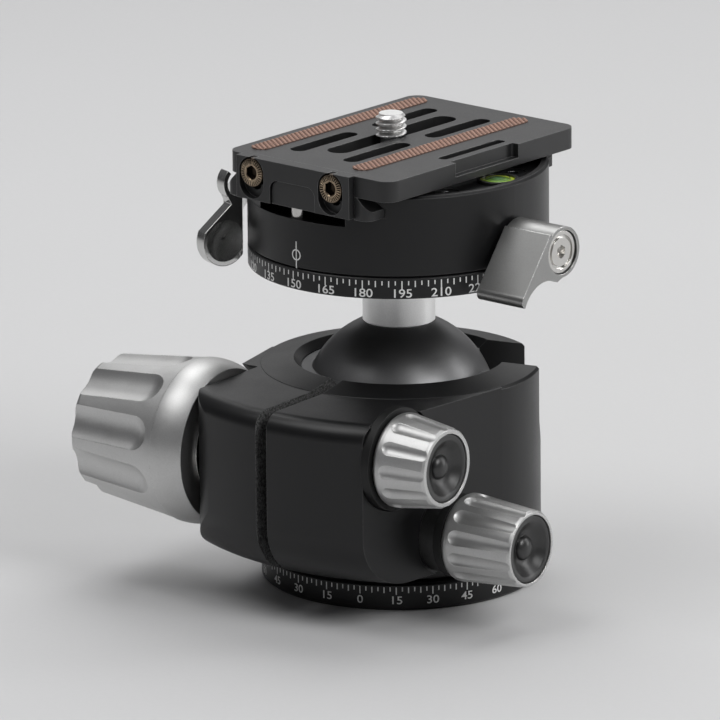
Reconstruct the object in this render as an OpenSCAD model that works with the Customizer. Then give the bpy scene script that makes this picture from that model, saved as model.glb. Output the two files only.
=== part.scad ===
// Tripod ball head: panning base, split housing that squeezes a 40 mm ball,
// main knob, friction knob, pan knob, round panning clamp with a release
// lever, and a dovetail camera plate.
// Millimetres, +Z up. Origin: middle of the base's underside. The camera
// plate's long sides lie along Y, and the housing stands turned by body_turn.

/* [Base] */
// step of the base disc inside the housing's side
base_step = 0.25; // [0.1:0.05:1]
// height of the base disc
base_h = 5.7; // [4:0.1:8]
// chamfer on the base disc's edges
base_edge = 0.5; // [0.2:0.1:1]
// diameter of the flange that carries the housing
flange_d = 48; // [44:0.1:50]
// height of that flange above the disc
flange_h = 3.3; // [2:0.1:5]
// diameter of the hub through the housing's floor
hub_d = 22; // [20:0.1:26]
// major diameter of the 3/8 inch tripod thread
tripod_thread_d = 9.525; // [6:0.001:10]
// depth of the tripod thread
tripod_thread_depth = 9.4; // [7:0.1:10]
// outer diameter of the threaded steel bush
bush_d = 14; // [12:0.1:15]
// diameter of the retaining plate over the hub
retainer_d = 30.8; // [28:0.1:32]
// thickness of the retaining plate
retainer_t = 1.6; // [1:0.1:2.5]
// thickness of the rubber ring under the base
base_pad_t = 0.8; // [0.4:0.1:1.5]

/* [Housing] */
// turn of the housing against the camera plate, degrees
body_turn = 4.3; // [-45:0.1:45]
// radius of the housing round the ball
body_r = 29.1; // [28:0.1:32]
// height of the housing's underside
body_under_z = 9.6; // [9:0.1:12]
// height of the lobe's flat top
body_top_z = 44.9; // [44:0.1:48]
// height of the collar's rim
rim_z = 46.2; // [45:0.1:48]
// outer radius of the collar's rim
rim_r = 21.8; // [21.2:0.1:24]
// radius of the neck under the housing
neck_r = 27.6; // [26:0.1:28.5]
// slant of the flat right cheek, degrees
cheek_slant = 8; // [4:0.5:12]
// slant of the left cheek, degrees
left_slant = 11; // [6:0.5:14]
// radius of the lobe's curved front
front_r = 61; // [50:1:80]
// reach of the lobe's front from the ball's axis
front_reach = 48.1; // [44:0.1:52]
// sideways place of the curved front's centre
front_x = 3; // [-6:0.5:6]
// radius of the front left corner in plan
corner_r = 10; // [6:0.5:14]
// radius of the lobe's top edge
top_fillet = 3.7; // [2:0.1:5]
// radius of the lobe's bottom edge
bottom_fillet = 11.5; // [6:0.5:13]
// width of the clamping slit
slit_w = 2.8; // [1.5:0.1:4]
// direction of the drop notch in the collar, degrees
notch_dir = 45; // [20:1:70]
// half width of the drop notch
notch_r = 8.8; // [8.2:0.1:10]
// height of the drop notch's round bottom
notch_z = 26.6; // [26:0.1:27]

/* [Ball and stem] */
// diameter of the ball
ball_d = 40; // [36:0.1:44]
// height of the ball's centre
ball_z = 35.47; // [35:0.01:38]
// diameter of the stem
stem_d = 15; // [12:0.1:15.4]
// height of the stem's top
stem_top_z = 67; // [64:0.1:72]
// spigot of the stem inside the ball
spigot_d = 10; // [8:0.1:12]
// depth of the spigot
spigot_depth = 14; // [8:0.1:20]

/* [Main knob] */
// distance of the main stud in front of the ball's axis
main_y = 30; // [29:0.1:31]
// height of the main stud
main_z = 30.6; // [30:0.1:31]
// diameter of the main stud
main_stud_d = 8; // [6:0.1:8.4]
// length of the main knob
main_len = 29.7; // [24:0.1:34]
// largest radius of the main knob
main_r = 17.3; // [16:0.1:18]
// radius of the main knob at its outer end
main_end_r = 14.6; // [13:0.1:16]
// inner face of the main knob, from the ball's axis
main_seat = 22.2; // [21.8:0.1:23]
// number of flutes on the main knob
main_flutes = 10; // [6:1:16]
// radius of each flute
main_flute_r = 6; // [4:0.1:8]
// depth of each flute
main_flute_depth = 1.6; // [0.6:0.1:2]

/* [Small knobs] */
// distance of the friction screw in front of the ball's axis
friction_y = 35; // [34.5:0.1:36]
// height of the friction screw
friction_z = 36.45; // [36:0.05:37]
// seat of the friction knob's ring, from the ball's axis
friction_seat = 23.1; // [22.8:0.1:23.3]
// length of the friction knob
friction_len = 12; // [10:0.1:14]
// largest radius of the friction knob
friction_r = 9.75; // [9:0.05:10]
// radius of the friction knob at its face
friction_face_r = 8.3; // [7.9:0.1:8.8]
// distance of the pan screw in front of the ball's axis
pan_y = 20.7; // [20.4:0.1:21]
// height of the pan screw
pan_z = 17.7; // [17.4:0.1:18]
// seat of the pan knob's collar, from the ball's axis
pan_seat = 25.4; // [25:0.1:25.8]
// length of the pan knob's collar
pan_collar_t = 3.8; // [2:0.1:5]
// length of the pan knob
pan_len = 16.5; // [14:0.1:20]
// largest radius of the pan knob
pan_r = 9.1; // [8.8:0.05:9.4]
// radius of the pan knob at its face
pan_face_r = 8.0; // [7.8:0.1:8.4]
// thickness of the black rings behind the small knobs
ring_t = 2; // [1:0.1:3]
// diameter of the small knobs' screws
small_stud_d = 5; // [4:0.1:5.2]
// number of flutes on each small knob
small_flutes = 12; // [8:1:16]
// radius of each small flute
small_flute_r = 2.4; // [1.6:0.1:3]
// depth of each small flute
small_flute_depth = 0.85; // [0.3:0.05:1]
// radius of the recess in each small knob's face
cap_seat_r = 7.1; // [6:0.1:7.3]
// depth of that recess
cap_seat_t = 2.6; // [1.5:0.1:4]
// radius of the dish in each cap
dish_r = 5.2; // [4:0.1:6]
// radius of the dome in the dish
dome_r = 2.4; // [1.5:0.1:3]

/* [Scale ring and clamp] */
// radius of the upper scale ring and the clamp
clamp_r = 31; // [30:0.1:33]
// height of the scale ring
scale_h = 4; // [3:0.1:5]
// gap between scale ring and clamp
scale_gap = 0.2; // [0.1:0.05:0.4]
// height of the clamp's round body
clamp_h = 16.8; // [15:0.1:18]
// diameter of the clamp's pan spindle
spindle_d = 20; // [16:0.1:22]
// length of the clamp's pan spindle
spindle_h = 7.9; // [6:0.1:8]
// depth of the clamp's channel below its top
channel_depth = 6.6; // [5.5:0.1:7]
// depth of the shoulders that carry the plate
shoulder_depth = 4.4; // [4:0.1:5]
// half width of the channel's floor
floor_half = 11.8; // [10:0.1:13]
// travel of the moving jaw
jaw_travel = 3.2; // [2.6:0.1:4]
// diameter of the bubble level's cup
bubble_cup_d = 8.6; // [7:0.1:9]
// distance of the bubble level from the clamp's axis
bubble_x = 24.5; // [23.5:0.1:25]
// diameter of the safety pin
pin_d = 3.3; // [2.4:0.1:4]

/* [Pan lever and release lever] */
// height of the pan lever's axis
lever_z = 75.7; // [74.8:0.1:76.4]
// radius of the pan lever's hub
lever_hub_r = 5.3; // [4.6:0.1:6]
// width of the pan lever along its axis
lever_w = 12; // [8:0.1:14]
// gap between the clamp and the pan lever
lever_gap = 1; // [0.4:0.1:2]
// reach of the pan lever's tip below its axis
lever_drop = 8; // [6:0.1:10]
// reach of the pan lever's tip in front of its axis
lever_reach = 11.4; // [9:0.1:14]
// thickness of the release lever's bar
release_t = 4; // [3:0.1:5]
// radius of the release lever's paddle
paddle_r = 5.4; // [5:0.1:6]

/* [Camera plate] */
// width of the plate
plate_w = 43.5; // [42:0.1:46]
// length of the plate
plate_l = 60; // [56:0.1:68]
// thickness of the plate's flange
plate_t = 4.4; // [3.5:0.1:5]
// top of the plate
plate_top_z = 92.9; // [92.5:0.1:94]
// place of the plate's left edge
plate_left = 20; // [19.5:0.1:21]
// corner radius of the plate
plate_corner = 3; // [1.5:0.1:4]
// width over the dovetail
dovetail_w = 38; // [36:0.1:38.4]
// place of the dovetail's middle, left of the ball's axis
dovetail_x = 1.2; // [0:0.1:2]
// height of the dovetail's upright edge
dovetail_edge = 1.9; // [1:0.1:2.4]
// play between the dovetail and the jaws
dovetail_gap = 0.15; // [0.1:0.01:0.3]
// width of the screw slot
slot_w = 5.4; // [5.2:0.1:6]
// width of the outer slots
side_slot_w = 3.8; // [3:0.1:4.5]
// distance between the rows of slots
slot_pitch = 7.1; // [6.8:0.1:8]
// width of each rubber strip
strip_w = 4.4; // [3:0.1:5]
// height of each rubber strip over the plate
strip_proud = 0.35; // [0.2:0.05:0.8]
// width of the stop bar
bar_w = 30.1; // [28:0.1:31]
// thickness of the stop bar
bar_t = 3; // [2.4:0.1:3.4]
// travel of the stop bar
bar_travel = 2.2; // [1:0.1:2.6]
// diameter of the bar screws' heads
bar_head_d = 6.2; // [5:0.1:6.6]
// major diameter of the 1/4 inch camera thread
camera_thread_d = 6.35; // [6:0.01:9.6]
// height of the camera thread over the plate
camera_thread_l = 4.7; // [4:0.1:6]
// diameter of the camera screw's head
camera_head_d = 13.4; // [12:0.1:14]

/* [Hidden] */
$fn = 96;
run = 0.05;          // running clearance on a radius
face = 0.05;         // clearance between sliding faces
eps = 0.01;          // overshoot of cuts

base_r = body_r - base_step;
flange_z = base_h + flange_h;
floor_z = flange_z + face;          // housing floor, underside
floor_t = 2.25;
hub_z = floor_z + floor_t + face;   // top of the hub
retainer_z = hub_z + retainer_t;
cup_z = retainer_z + 0.95;          // seat of the lower cup
ball_r = ball_d / 2;
seat_r = ball_r + run;
cup_r = 17.2;
cup_top = 24;
bore_z = 25;                        // start of the ball's bore
bore_r = ball_r + 0.25;
liner_low = 38.5;
liner_top = 44.4;
front_y = front_reach - front_r;    // centre of the curved front is at -front_y
retainer_screw_r = 9;

// flat top on the ball under the stem
ball_flat = ball_z + sqrt(ball_r * ball_r - stem_d * stem_d / 4);
root_h = 3.8;                       // neck root turned in one with the ball
root_top = ball_flat + root_h;
ring_z = stem_top_z;                // underside of the scale ring
ring_top = ring_z + scale_h;
clamp_z = ring_top + scale_gap;
clamp_top = clamp_z + clamp_h;
spindle_top = ring_top + spindle_h;
channel_z = clamp_top - channel_depth;
shoulder_z = clamp_top - shoulder_depth;
bolt_d = 6;
bolt_head_t = 1.4;
keeper_r = spindle_d / 2 + 3;
keeper_t = 1.2;

plate_under = plate_top_z - plate_t;
dovetail_z = shoulder_z + 0.1;      // underside of the dovetail
dove_r = dovetail_w / 2;
dove_slope = plate_under - dovetail_z - dovetail_edge;
web_z = plate_under;                // underside of the web over the screw's head
jaw_x = -dovetail_x - dove_r - dovetail_gap;        // the moving jaw's inner face
edge_z = dovetail_z + dovetail_edge - dovetail_gap; // where the jaws' lips begin
plate_y0 = -plate_l / 2 - 0.5;      // front edge of the plate
plate_x0 = -plate_left;
slot_x = -1.75;                     // middle row of slots
bar_x = -0.95;
bar_y = plate_y0 - 1.5;             // front face of the stop bar
bar_z = dovetail_z + 0.3;
seat_y = bar_y + bar_t + 0.05;       // wall behind the stop bar
bar_screw_x = [-12, 9.1];
bar_screw_z = plate_top_z - 3.2;
bar_screw_l = 7.8;                  // shank of each bar screw
bar_web = 1.6;                      // stop bar's web under the screw's head
door_w = 11.8;
door_z = plate_top_z - 3.9;
pin_x = -2.2;
pin_y = bar_y + 3.5;
pin_low = channel_z - 4.6;
pin_travel = 2.6;
groove_y = [bar_y + 1, pin_y + 9.1]; // safety pin's groove under the plate
groove_half = 4;
head_play = 0.6;                    // play round the camera screw's head
screw_neck_r = slot_w / 2 - 0.5;
strip_x = [-15.7, 11.4];
strip_y = [-26.5, 27];

main_stud_r = main_stud_d / 2;
small_stud_r = small_stud_d / 2;
lever_y = -0.4;
lever_x = clamp_r + lever_gap;
pivot = [-27.8, 9.3];               // release lever's pivot
hub_r = 3.6;
lever_low = channel_z + 1.5;        // release lever in the jaw's pocket
lever_high = channel_z + 4.6;
lever_swing = 6;
rim_gap = 1;                        // release lever's bar outside the clamp's rim
arm_low = 77;                       // the bar's underside and its top by the paddle
arm_high = 80.9;

washer_r = 11;
cap_r = 10.4;                       // main knob's cap and its hollow face
cap_t = 1.6;
cap_hollow_r = 25.2;
cap_hollow_z = 24;
jaw_screw_x = 22;                   // screws that hold the fixed jaw
jaw_screw_y = 10.5;
jaw_screw_d = 3;
jaw_screw_deep = 7.8;
jaw_thread_l = 5.5;
rib_y = 14;                         // the moving jaw's guide ribs
stud_r = 3;                         // pan lever's stud

// ---- shapes used by more than one piece ----

// a bar with a round end at z = 0
module rod(r, len) {
    rotate_extrude() {
        square([r, len]);
        intersection() {
            circle(r = r);
            translate([0, -r]) square([r, 2 * r]);
        }
    }
}

// a slot in plan, from y0 to y1 with round ends
module slot2d(w, y0, y1) {
    translate([-w / 2, y0 + w / 2]) square([w, y1 - y0 - w]);
    translate([0, y0 + w / 2]) circle(d = w);
    translate([0, y1 - w / 2]) circle(d = w);
}

// a rectangle from [x0, y0] to [x1, y1] with round corners
module round_rect(x0, y0, x1, y1, r) {
    translate([x0 + r, y0]) square([x1 - x0 - 2 * r, y1 - y0]);
    translate([x0, y0 + r]) square([x1 - x0, y1 - y0 - 2 * r]);
    for (x = [x0 + r, x1 - r], y = [y0 + r, y1 - r]) translate([x, y]) circle(r = r);
}

// places a knob's own frame, axis +Z from its seat, on the housing
module on_right(x, y, z) {
    rotate([0, 0, body_turn]) translate([x, -y, z]) rotate([0, 90, 0]) children();
}

module on_left(x, y, z) {
    rotate([0, 0, body_turn]) translate([-x, -y, z]) rotate([0, -90, 0]) children();
}

// hollow of a hexagon key
module hex_key(flats, depth) {
    translate([0, 0, -depth]) cylinder(d = flats / cos(30), h = depth + eps, $fn = 6);
}

// profile that runs along Y, drawn in X and Z
module along_y(y0, y1) {
    translate([0, y1, 0]) rotate([90, 0, 0]) linear_extrude(y1 - y0) children();
}

// ---- base ----

module base_disc() color([0.07, 0.07, 0.08]) difference() {
    union() {
        rotate_extrude() polygon([[0, 0], [base_r - base_edge, 0], [base_r, base_edge],
            [base_r, base_h - base_edge], [base_r - base_edge, base_h],
            [flange_d / 2, base_h], [flange_d / 2, flange_z], [hub_d / 2, flange_z],
            [hub_d / 2, hub_z], [0, hub_z]]);
    }
    translate([0, 0, -eps]) cylinder(d = bush_d, h = tripod_thread_depth + eps);
    difference() {
        translate([0, 0, -eps]) cylinder(r = base_r - 3, h = base_pad_t + eps);
        translate([0, 0, -1]) cylinder(r = 12, h = 3);
    }
    for (a = [30, 150, 270]) rotate([0, 0, a]) translate([retainer_screw_r, 0, hub_z - 4.5])
        cylinder(d = 2.5, h = 5);
}

module base_bush() color([0.72, 0.72, 0.74]) difference() {
    cylinder(d = bush_d, h = tripod_thread_depth);
    translate([0, 0, -eps]) cylinder(d = tripod_thread_d, h = tripod_thread_depth + 2 * eps);
}

module base_pad() color([0.05, 0.05, 0.05]) difference() {
    cylinder(r = base_r - 3, h = base_pad_t);
    translate([0, 0, -eps]) cylinder(r = 12, h = base_pad_t + 2 * eps);
}

module pan_retainer() color([0.6, 0.6, 0.62]) difference() {
    translate([0, 0, hub_z]) cylinder(d = retainer_d, h = retainer_t);
    for (a = [30, 150, 270]) rotate([0, 0, a]) translate([retainer_screw_r, 0, hub_z - eps]) {
        cylinder(d = 2.6, h = retainer_t + 2 * eps);
        translate([0, 0, retainer_t - 1.1]) cylinder(d1 = 2.6, d2 = 4.8, h = 1.1 + 2 * eps);
    }
}

module retainer_screws() color([0.35, 0.35, 0.37])
    for (a = [30, 150, 270]) rotate([0, 0, a]) translate([retainer_screw_r, 0, 0]) difference() {
        union() {
            translate([0, 0, hub_z - 4.3]) cylinder(d = 2.5, h = 4.3 + retainer_t - 1.1);
            translate([0, 0, retainer_z - 1.1]) cylinder(d1 = 2.5, d2 = 4.6, h = 1.05);
        }
        translate([0, 0, retainer_z]) hex_key(1.5, 0.8);
    }

// ---- housing ----

// plan of the front lobe: curved front, slanted cheeks, one round corner
module lobe_plan() {
    nl = [-cos(left_slant), -sin(left_slant)];
    // centre of the round corner, on the line parallel to the left cheek
    p0 = nl * (body_r - corner_r);
    t = [sin(left_slant), -cos(left_slant)];
    q = p0 - [front_x, -front_y];
    b = q * t;
    len = -b + sqrt(b * b - (q * q - pow(front_r - corner_r, 2)));
    c = p0 + t * len;
    u = (c - [front_x, -front_y]) / (front_r - corner_r);
    nr = [cos(cheek_slant), -sin(cheek_slant)];
    tr = [-sin(cheek_slant), -cos(cheek_slant)];
    difference() {
        intersection() {
            translate([front_x, -front_y]) circle(r = front_r, $fn = 360);
            polygon([[0, 8], nr * body_r, nr * body_r + tr * 60, nl * body_r + t * 60, nl * body_r]);
        }
        difference() {
            polygon([c, c + nl * corner_r, c + (nl + u) * corner_r * 1.2, c + u * corner_r]);
            translate(c) circle(r = corner_r);
        }
    }
}

// section of a body of radius r with round top and bottom edges
module wall_section(r, r_in) {
    translate([r_in, body_under_z]) square([r - bottom_fillet - r_in, body_top_z - body_under_z]);
    translate([r - bottom_fillet - eps, body_under_z + bottom_fillet])
        square([bottom_fillet + eps, body_top_z - body_under_z - bottom_fillet - top_fillet]);
    translate([r - bottom_fillet - eps, body_top_z - top_fillet - eps])
        square([bottom_fillet - top_fillet + eps, top_fillet + eps]);
    intersection() {
        translate([r - bottom_fillet, body_under_z + bottom_fillet]) circle(r = bottom_fillet);
        translate([r - bottom_fillet - eps, body_under_z]) square([30, bottom_fillet + eps]);
    }
    intersection() {
        translate([r - top_fillet, body_top_z - top_fillet]) circle(r = top_fillet);
        translate([r - top_fillet - eps, body_top_z - top_fillet - eps]) square(top_fillet + 1);
    }
}

// the lobe: its plan, cut to round edges at the front and at the left
module lobe() {
    intersection() {
        translate([0, 0, body_under_z]) linear_extrude(body_top_z - body_under_z) lobe_plan();
        translate([front_x, -front_y, 0]) rotate_extrude($fn = 360) wall_section(front_r, 0);
        rotate([0, 0, 90 + left_slant]) along_y(-60, 60) wall_flat();
    }
}

// the left cheek's section, its face at X = body_r
module wall_flat() {
    translate([-80, 0]) wall_section(body_r + 80, 0);
}

// the round part: neck, side and collar
module round_body() {
    chamfer = 0.5;
    rotate_extrude() {
        polygon([[0, base_h + 0.25], [neck_r - 1, base_h + 0.25], [neck_r - 1, base_h + 0.9],
            [neck_r, base_h + 0.9], [neck_r, body_under_z], [body_r - 3, body_under_z],
            [body_r - 3, body_under_z + 3], [body_r, body_under_z + 3],
            [body_r, body_top_z - chamfer], [body_r - chamfer, body_top_z + 0.1],
            [rim_r, rim_z], [0, rim_z]]);
        translate([body_r - 3, body_under_z + 3]) circle(r = 3);
    }
}

module housing() color([0.06, 0.06, 0.065]) rotate([0, 0, body_turn]) difference() {
    union() {
        round_body();
        lobe();
    }
    // hollow for the base flange, the hub and the retaining plate
    translate([0, 0, 0]) cylinder(d = flange_d + 2 * run, h = floor_z);
    translate([0, 0, 1]) cylinder(d = hub_d + 2 * run, h = 20);
    translate([0, 0, floor_z + floor_t]) cylinder(d = retainer_d + 0.6, h = 10);
    // seat of the lower cup and bore of the ball
    translate([0, 0, cup_z]) cylinder(r = cup_r + run, h = 20);
    translate([0, 0, bore_z]) cylinder(r = bore_r, h = 40);
    translate([0, 0, rim_z - 1.6]) cylinder(r1 = bore_r, r2 = bore_r + 1.65, h = 1.65);
    // clamping slit
    translate([-slit_w / 2, -80, cup_z - 1.7]) cube([slit_w, 80 - 14, 60]);
    translate([-slit_w / 2, -80, 0]) cube([slit_w, 80 - neck_r - 0.4, 60]);
    // drop notch
    rotate([0, 0, notch_dir]) {
        translate([14, 0, notch_z + notch_r]) rotate([0, 90, 0]) cylinder(r = notch_r, h = 30);
        translate([14, -notch_r, notch_z + notch_r]) cube([30, 2 * notch_r, 40]);
    }
    // main stud, its knob's spot face, and its blind thread
    translate([-main_seat + 0.4, -main_y, main_z]) rotate([0, -90, 0]) linear_extrude(30)
        polygon([for (i = [0 : 35]) (main_r + 0.4) * [cos(i * 10 + 5), sin(i * 10 + 5)]]);
    translate([-40, -main_y, main_z]) rotate([0, 90, 0]) cylinder(r = main_stud_r + run, h = 57);
    // friction screw and its spot face
    translate([friction_seat, -friction_y, friction_z]) rotate([0, 90, 0]) cylinder(r = friction_r + 1.15, h = 20);
    translate([-9, -friction_y, friction_z]) rotate([0, 90, 0]) cylinder(r = small_stud_r + run, h = 50);
    // pan screw, its spot face and the wedge's bore
    translate([pan_seat, -pan_y, pan_z]) rotate([0, 90, 0]) cylinder(r = pan_r - 0.5, h = 20);
    translate([5.5, -pan_y, pan_z]) rotate([0, 90, 0]) cylinder(r = small_stud_r + run, h = 50);
    translate([5.5, -pan_y, floor_z - 1]) cylinder(r = 2.45, h = pan_z + small_stud_r + 1 - floor_z);
}

module lower_cup() color([0.85, 0.84, 0.8]) difference() {
    translate([0, 0, cup_z]) cylinder(r = cup_r, h = cup_top - cup_z);
    translate([0, 0, ball_z]) sphere(r = seat_r);
    cylinder(r = 9, h = 60);
}

module ball_liner() color([0.5, 0.5, 0.52]) difference() {
    translate([0, 0, liner_low]) cylinder(r = bore_r, h = liner_top - liner_low);
    translate([0, 0, ball_z]) sphere(r = seat_r);
    // open where the stem drops and where the housing is slit
    rotate([0, 0, body_turn + notch_dir]) translate([5, -notch_r, 30]) cube([30, 2 * notch_r, 40]);
    rotate([0, 0, body_turn]) translate([-slit_w / 2, -30, 30]) cube([slit_w, 30, 40]);
}

module pan_pad() color([0.75, 0.6, 0.3]) rotate([0, 0, body_turn]) difference() {
    translate([5.5, -pan_y, floor_z]) cylinder(r = 2.4, h = pan_z + small_stud_r - 0.2 - floor_z);
    translate([5.5, -pan_y, pan_z]) rotate([0, 45, 0]) translate([-10, -5, 0]) cube([20, 10, 10]);
}

module pan_collar() color([0.55, 0.55, 0.57]) on_right(pan_seat, pan_y, pan_z) difference() {
    cylinder(r = pan_r - 1.1, h = pan_collar_t);
    translate([0, 0, -eps]) cylinder(r = small_stud_r + run, h = pan_collar_t + 2 * eps);
}

module main_washer() color([0.65, 0.65, 0.67]) on_left(main_seat - 0.4, main_y, main_z) difference() {
    cylinder(r = washer_r, h = 0.35);
    translate([0, 0, -eps]) cylinder(r = main_stud_r + run, h = 1);
}

// ---- main knob, its frame's +Z runs outward from its seat ----

module main_knob() color([0.6, 0.6, 0.62]) on_left(main_seat, main_y, main_z) {
    arc_r = 12;
    arc_z = 5.7;
    slope = (main_r - main_end_r) / (main_len - arc_z);
    difference() {
        rotate_extrude() {
            polygon([[0, arc_z], [main_r - 0.05, arc_z], [main_end_r, main_len - 1.4],
                [main_end_r - 1.4, main_len - 1.4], [main_end_r - 1.4, main_len], [0, main_len]]);
            translate([main_end_r - 1.4, main_len - 1.4]) circle(r = 1.4);
            intersection() {
                translate([main_r - arc_r, arc_z]) circle(r = arc_r);
                square([main_r + 1, arc_z + 1.3]);
            }
        }
        for (i = [0 : main_flutes - 1])
            rotate([0, 0, -75 + i * 360 / main_flutes])
                translate([main_r - slope * 7.5 + main_flute_r - main_flute_depth, 0, arc_z + 7.5])
                    rotate([0, -atan(slope), 0]) rod(main_flute_r, main_len);
        translate([0, 0, main_len - cap_t - 0.4]) cylinder(r = cap_r + 0.2, h = 3);
        translate([0, 0, -1]) cylinder(r = main_stud_r, h = main_len - 5);
    }
}

module main_cap() color([0.1, 0.1, 0.11]) on_left(main_seat, main_y, main_z) difference() {
    translate([0, 0, main_len - cap_t - 0.4]) cylinder(r = cap_r, h = cap_t);
    translate([0, 0, main_len + cap_hollow_z]) sphere(r = cap_hollow_r);
}

module main_stud() color([0.7, 0.7, 0.72]) on_left(main_seat, main_y, main_z)
    translate([0, 0, -main_seat - 16]) cylinder(r = main_stud_r, h = main_seat + 16 + main_len - 6);

// ---- small knobs ----

// a fluted knob of length len on its own axis, phase turns its flutes
module small_knob(len, r, face_r, phase) {
    floor_in = r - small_flute_depth;
    floor_out = face_r - 0.35;
    start = 2.6 + 1.2;
    slope = (floor_in - floor_out) / (len - start);
    difference() {
        rotate_extrude() {
            polygon([[0, 0], [r - 1.2, 0], [r - 1.2, 1.2], [r, 1.2], [r, 1.8],
                [face_r, len - 0.5], [face_r - 0.4, len], [0, len]]);
            translate([r - 1.2, 1.2]) circle(r = 1.2);
        }
        for (i = [0 : small_flutes - 1])
            rotate([0, 0, phase + i * 360 / small_flutes])
                translate([floor_in + small_flute_r, 0, start])
                    rotate([0, -atan(slope), 0]) rod(small_flute_r, len);
        translate([0, 0, len - cap_seat_t]) cylinder(r = cap_seat_r, h = cap_seat_t + 1);
        translate([0, 0, -1]) cylinder(r = small_stud_r, h = len - cap_seat_t - 1);
    }
}

// the dished cap in a small knob's face
module small_cap(len) {
    dish_depth = 1.2;
    dish_s = (dish_r * dish_r + dish_depth * dish_depth) / 2 / dish_depth;
    dome_h = 0.8;
    dome_s = (dome_r * dome_r + dome_h * dome_h) / 2 / dome_h;
    top = len - 0.25;
    difference() {
        translate([0, 0, len - cap_seat_t]) cylinder(r = cap_seat_r - 0.15, h = top - len + cap_seat_t);
        translate([0, 0, top - dish_depth + dish_s]) sphere(r = dish_s);
    }
    intersection() {
        translate([0, 0, top - dish_depth - 0.1 + dome_h - dome_s + 0.2]) sphere(r = dome_s);
        translate([0, 0, top - dish_depth - 0.4]) cylinder(r = dome_r, h = 3);
    }
}

module friction_knob() color([0.62, 0.62, 0.64])
    on_right(friction_seat + ring_t, friction_y, friction_z)
        small_knob(friction_len, friction_r, friction_face_r, 0);

module friction_cap() color([0.1, 0.1, 0.11])
    on_right(friction_seat + ring_t, friction_y, friction_z) small_cap(friction_len);

module friction_ring() color([0.05, 0.05, 0.05])
    on_right(friction_seat + face, friction_y, friction_z) difference() {
        cylinder(r = friction_r + 0.85, h = ring_t - face);
        translate([0, 0, -eps]) cylinder(r = small_stud_r, h = ring_t + 1);
    }

module friction_screw() color([0.7, 0.7, 0.72])
    on_right(friction_seat + ring_t, friction_y, friction_z)
        translate([0, 0, -friction_seat - ring_t - 8])
            cylinder(r = small_stud_r, h = friction_seat + ring_t + 8 + friction_len - cap_seat_t - 2);

module pan_knob() color([0.62, 0.62, 0.64])
    on_right(pan_seat + pan_collar_t + ring_t, pan_y, pan_z)
        small_knob(pan_len, pan_r, pan_face_r, 15);

module pan_cap() color([0.1, 0.1, 0.11])
    on_right(pan_seat + pan_collar_t + ring_t, pan_y, pan_z) small_cap(pan_len);

module pan_ring() color([0.05, 0.05, 0.05])
    on_right(pan_seat + pan_collar_t + face, pan_y, pan_z) difference() {
        cylinder(r = pan_r - 0.5, h = ring_t - face);
        translate([0, 0, -eps]) cylinder(r = small_stud_r, h = ring_t + 1);
    }

module pan_screw() color([0.7, 0.7, 0.72])
    on_right(8.3, pan_y, pan_z) {
        cylinder(r = small_stud_r,
            h = pan_seat + pan_collar_t + ring_t - 8.3 + pan_len - cap_seat_t - 2);
        translate([0, 0, -1.9]) cylinder(r1 = 0.6, r2 = small_stud_r, h = 1.9);
    }

// ---- ball, stem and scale ring ----

module ball() color([0.12, 0.12, 0.13]) difference() {
    union() {
        difference() {
            translate([0, 0, ball_z]) sphere(r = ball_r, $fn = 128);
            translate([-20, -20, ball_flat]) cube([40, 40, 10]);
        }
        translate([0, 0, ball_flat - 1]) cylinder(r = stem_d / 2 - 0.5, h = root_h + 1);
    }
    translate([0, 0, ball_flat - spigot_depth - 0.2]) cylinder(r = spigot_d / 2 + run, h = 30);
}

module stem() color([0.62, 0.62, 0.64]) difference() {
    union() {
        rotate_extrude() polygon([[0, root_top + face], [stem_d / 2 - 0.2, root_top + face],
            [stem_d / 2, root_top + 0.25], [stem_d / 2, stem_top_z], [0, stem_top_z]]);
        translate([0, 0, ball_flat - spigot_depth]) cylinder(d = spigot_d, h = spigot_depth + root_h + 1);
    }
    translate([0, 0, stem_top_z - 9]) cylinder(d = bolt_d, h = 10);
}

module scale_ring() color([0.07, 0.07, 0.08]) difference() {
    rotate_extrude() polygon([[0, ring_z], [clamp_r - 1.2, ring_z], [clamp_r, ring_z + 0.6],
        [clamp_r, ring_top - 0.2], [clamp_r - 0.2, ring_top], [spindle_d / 2, ring_top],
        [spindle_d / 2, spindle_top], [0, spindle_top]]);
    translate([0, 0, ring_z - 1]) cylinder(d = bolt_d, h = 20);
    // relief under the ring, as turned parts have
    difference() {
        translate([0, 0, ring_z - eps]) cylinder(r = 26, h = 1 + eps);
        translate([0, 0, ring_z - 1]) cylinder(r = stem_d / 2 + 2.5, h = 4);
    }
}

module spindle_keeper() color([0.6, 0.6, 0.62]) difference() {
    translate([0, 0, spindle_top]) cylinder(r = keeper_r, h = keeper_t);
    translate([0, 0, spindle_top - 1]) cylinder(d = bolt_d, h = 5);
}

module stem_bolt() color([0.4, 0.4, 0.42]) difference() {
    union() {
        translate([0, 0, stem_top_z - 8.5]) cylinder(d = bolt_d, h = 8.5 + spindle_top - stem_top_z + keeper_t);
        translate([0, 0, spindle_top + keeper_t]) cylinder(d = 10, h = bolt_head_t);
    }
    translate([0, 0, spindle_top + keeper_t + bolt_head_t]) hex_key(4, 1);
}

// ---- clamp ----

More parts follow.
